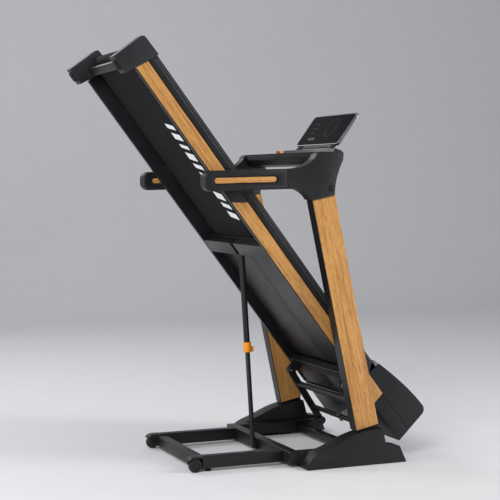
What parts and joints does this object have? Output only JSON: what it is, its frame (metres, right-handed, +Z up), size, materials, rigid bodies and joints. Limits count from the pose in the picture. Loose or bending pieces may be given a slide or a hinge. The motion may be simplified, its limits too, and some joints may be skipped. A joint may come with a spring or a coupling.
{
  "type": "treadmill",
  "caption": "Folding treadmill with its running deck stored upright between two leaning uprights, with handrails, a console and a wheeled base.",
  "frame": {"origin": "on the floor, under the middle of the stored machine's bounding box", "axes": "+X the way the runner faces, +Y the runner's left, +Z up"},
  "size_m": [1.2864, 0.792, 1.6195],
  "materials": {
    "black_steel": "satin powder coat",
    "black_plastic": "satin",
    "grey_plastic": "satin",
    "light_oak": "matt straight grain",
    "bright_steel": "zinc plated",
    "rubber": "matt",
    "belt": "fine texture",
    "board": "waxed",
    "aluminium": "bead blasted",
    "silver_trim": "satin",
    "black_glass": "gloss",
    "yellow_plastic": "gloss",
    "red_plastic": "gloss"
  },
  "bodies": {
    "base": {"base_cover_left": "black_plastic", "base_cover_right": "black_plastic", "base_cross_tubes": "black_steel", "base_side_tubes": "black_steel", "console_bracket_left": "black_plastic", "console_bracket_right": "black_plastic", "console_panel": "black_plastic", "console_tray": "black_plastic", "display_plinth": "black_plastic", "floor_feet": "rubber", "fold_pivot": "black_steel", "handrail_inlays": "light_oak", "handrail_left": "black_plastic", "handrail_right": "black_plastic", "strut_foot": "black_steel", "upright_tubes": "black_steel", "upright_wood_left": "light_oak", "upright_wood_right": "light_oak", "wheel_forks": "black_plastic"},
    "lift": {"lift_arms": "black_steel", "lift_bars": "black_steel"},
    "deck": {"deck_beams": "black_steel", "deck_bolts": "bright_steel", "deck_channel": "black_steel", "deck_cross_tubes": "black_steel", "deck_pans": "black_plastic", "deck_rubbers": "rubber", "deck_side_rails": "black_steel", "deck_wood": "light_oak", "drive_belt": "rubber", "drive_motor": "black_steel", "end_caps": "grey_plastic", "foot_rails": "black_plastic", "hood": "black_plastic", "hood_trim": "silver_trim", "motor_controller": "aluminium", "roller_axles": "bright_steel", "running_belt": "belt", "running_board": "board", "actuator_body": "black_steel"},
    "front_roller": {"front_roller": "bright_steel"},
    "rear_roller": {"rear_roller": "bright_steel"},
    "motor_rotor": {"motor_rotor": "bright_steel"},
    "actuator_rod": {"actuator_rod": "bright_steel"},
    "display": {"display_glass": "black_glass", "display_hinge_bar": "black_steel", "display_housing": "black_plastic", "display_rim": "silver_trim"},
    "strut_lower": {"strut_lower": "black_steel"},
    "strut_upper": {"strut_upper": "black_steel"},
    "strut_lock_sleeve": {"strut_lock_sleeve": "yellow_plastic"},
    "safety_key": {"safety_key": "red_plastic"},
    "start_key": {"start_key": "grey_plastic"},
    "stop_key": {"stop_key": "red_plastic"},
    "wheel_left": {"transport_wheel_left": "black_plastic"},
    "wheel_right": {"transport_wheel_right": "black_plastic"},
    "handrail_key_minus_left": {"handrail_key_minus_left": "grey_plastic"},
    "handrail_key_minus_right": {"handrail_key_minus_right": "grey_plastic"},
    "handrail_key_plus_left": {"handrail_key_plus_left": "grey_plastic"},
    "handrail_key_plus_right": {"handrail_key_plus_right": "grey_plastic"}
  },
  "joints": [
    {"name": "deck_fold", "type": "hinge", "parent": "base", "child": "lift", "pos_m": [0.45417, 0, 0.06331], "axis": [0, -1, 0], "range_deg": [0, 55.1]},
    {"name": "incline", "type": "hinge", "parent": "lift", "child": "deck", "pos_m": [0.30847, 0, 0.28922], "axis": [0, 1, 0], "range_deg": [0, 5]},
    {"name": "incline_actuator", "type": "slide", "parent": "deck", "child": "actuator_rod", "axis": [0.8404, 0, 0.542], "range_m": [0, 0.0171]},
    {"name": "front_roller_spin", "type": "hinge", "parent": "deck", "child": "front_roller", "pos_m": [0.42322, 0, 0.32258], "axis": [0, 1, 0], "continuous": true},
    {"name": "rear_roller_spin", "type": "hinge", "parent": "deck", "child": "rear_roller", "pos_m": [-0.52818, 0, 1.57147], "axis": [0, 1, 0], "continuous": true},
    {"name": "motor_spin", "type": "hinge", "parent": "deck", "child": "motor_rotor", "pos_m": [0.51243, 0, 0.21455], "axis": [0, 1, 0], "continuous": true},
    {"name": "strut_swing", "type": "hinge", "parent": "base", "child": "strut_lower", "pos_m": [0.03243, 0, 0.036], "axis": [0, -1, 0], "range_deg": [0, 77.08]},
    {"name": "strut_slide", "type": "slide", "parent": "strut_lower", "child": "strut_upper", "axis": [-0.0644, 0, 0.9979], "range_m": [-0.31167, 0]},
    {"name": "lock_sleeve", "type": "slide", "parent": "strut_upper", "child": "strut_lock_sleeve", "axis": [-0.0644, 0, 0.9979], "range_m": [0, 0.01], "stiffness_N_per_m": 800, "springref_m": -0.003},
    {"name": "display_tilt", "type": "hinge", "parent": "base", "child": "display", "pos_m": [0.30944, 0, 1.233], "axis": [0, 1, 0], "range_deg": [-10, 20]},
    {"name": "safety_key_pull", "type": "slide", "parent": "base", "child": "safety_key", "axis": [0, 0, 1], "range_m": [0, 0.04]},
    {"name": "start_press", "type": "slide", "parent": "base", "child": "start_key", "axis": [0, 0, -1], "range_m": [0, 0.0012], "stiffness_N_per_m": 400, "springref_m": -0.0008},
    {"name": "stop_press", "type": "slide", "parent": "base", "child": "stop_key", "axis": [0, 0, -1], "range_m": [0, 0.0012], "stiffness_N_per_m": 400, "springref_m": -0.0008},
    {"name": "wheel_left_spin", "type": "hinge", "parent": "base", "child": "wheel_left", "pos_m": [-0.31156, 0.252, 0.025], "axis": [0, 1, 0], "continuous": true},
    {"name": "wheel_right_spin", "type": "hinge", "parent": "base", "child": "wheel_right", "pos_m": [-0.31156, -0.252, 0.025], "axis": [0, 1, 0], "continuous": true},
    {"name": "handrail_minus_left_press", "type": "slide", "parent": "base", "child": "handrail_key_minus_left", "axis": [0, 0, -1], "range_m": [0, 0.0012], "stiffness_N_per_m": 400, "springref_m": -0.0008},
    {"name": "handrail_minus_right_press", "type": "slide", "parent": "base", "child": "handrail_key_minus_right", "axis": [0, 0, -1], "range_m": [0, 0.0012], "stiffness_N_per_m": 400, "springref_m": -0.0008},
    {"name": "handrail_plus_left_press", "type": "slide", "parent": "base", "child": "handrail_key_plus_left", "axis": [0, 0, -1], "range_m": [0, 0.0012], "stiffness_N_per_m": 400, "springref_m": -0.0008},
    {"name": "handrail_plus_right_press", "type": "slide", "parent": "base", "child": "handrail_key_plus_right", "axis": [0, 0, -1], "range_m": [0, 0.0012], "stiffness_N_per_m": 400, "springref_m": -0.0008}
  ],
  "couplings": [
    {"joint": "strut_swing", "follows": "deck_fold", "ratio": 1.3985},
    {"joint": "strut_slide", "follows": "deck_fold", "m_per_rad": -0.32399},
    {"joint": "incline_actuator", "follows": "incline", "m_per_rad": 0.19353},
    {"joint": "rear_roller_spin", "follows": "front_roller_spin", "ratio": 1},
    {"joint": "motor_spin", "follows": "front_roller_spin", "ratio": 2.5}
  ]
}
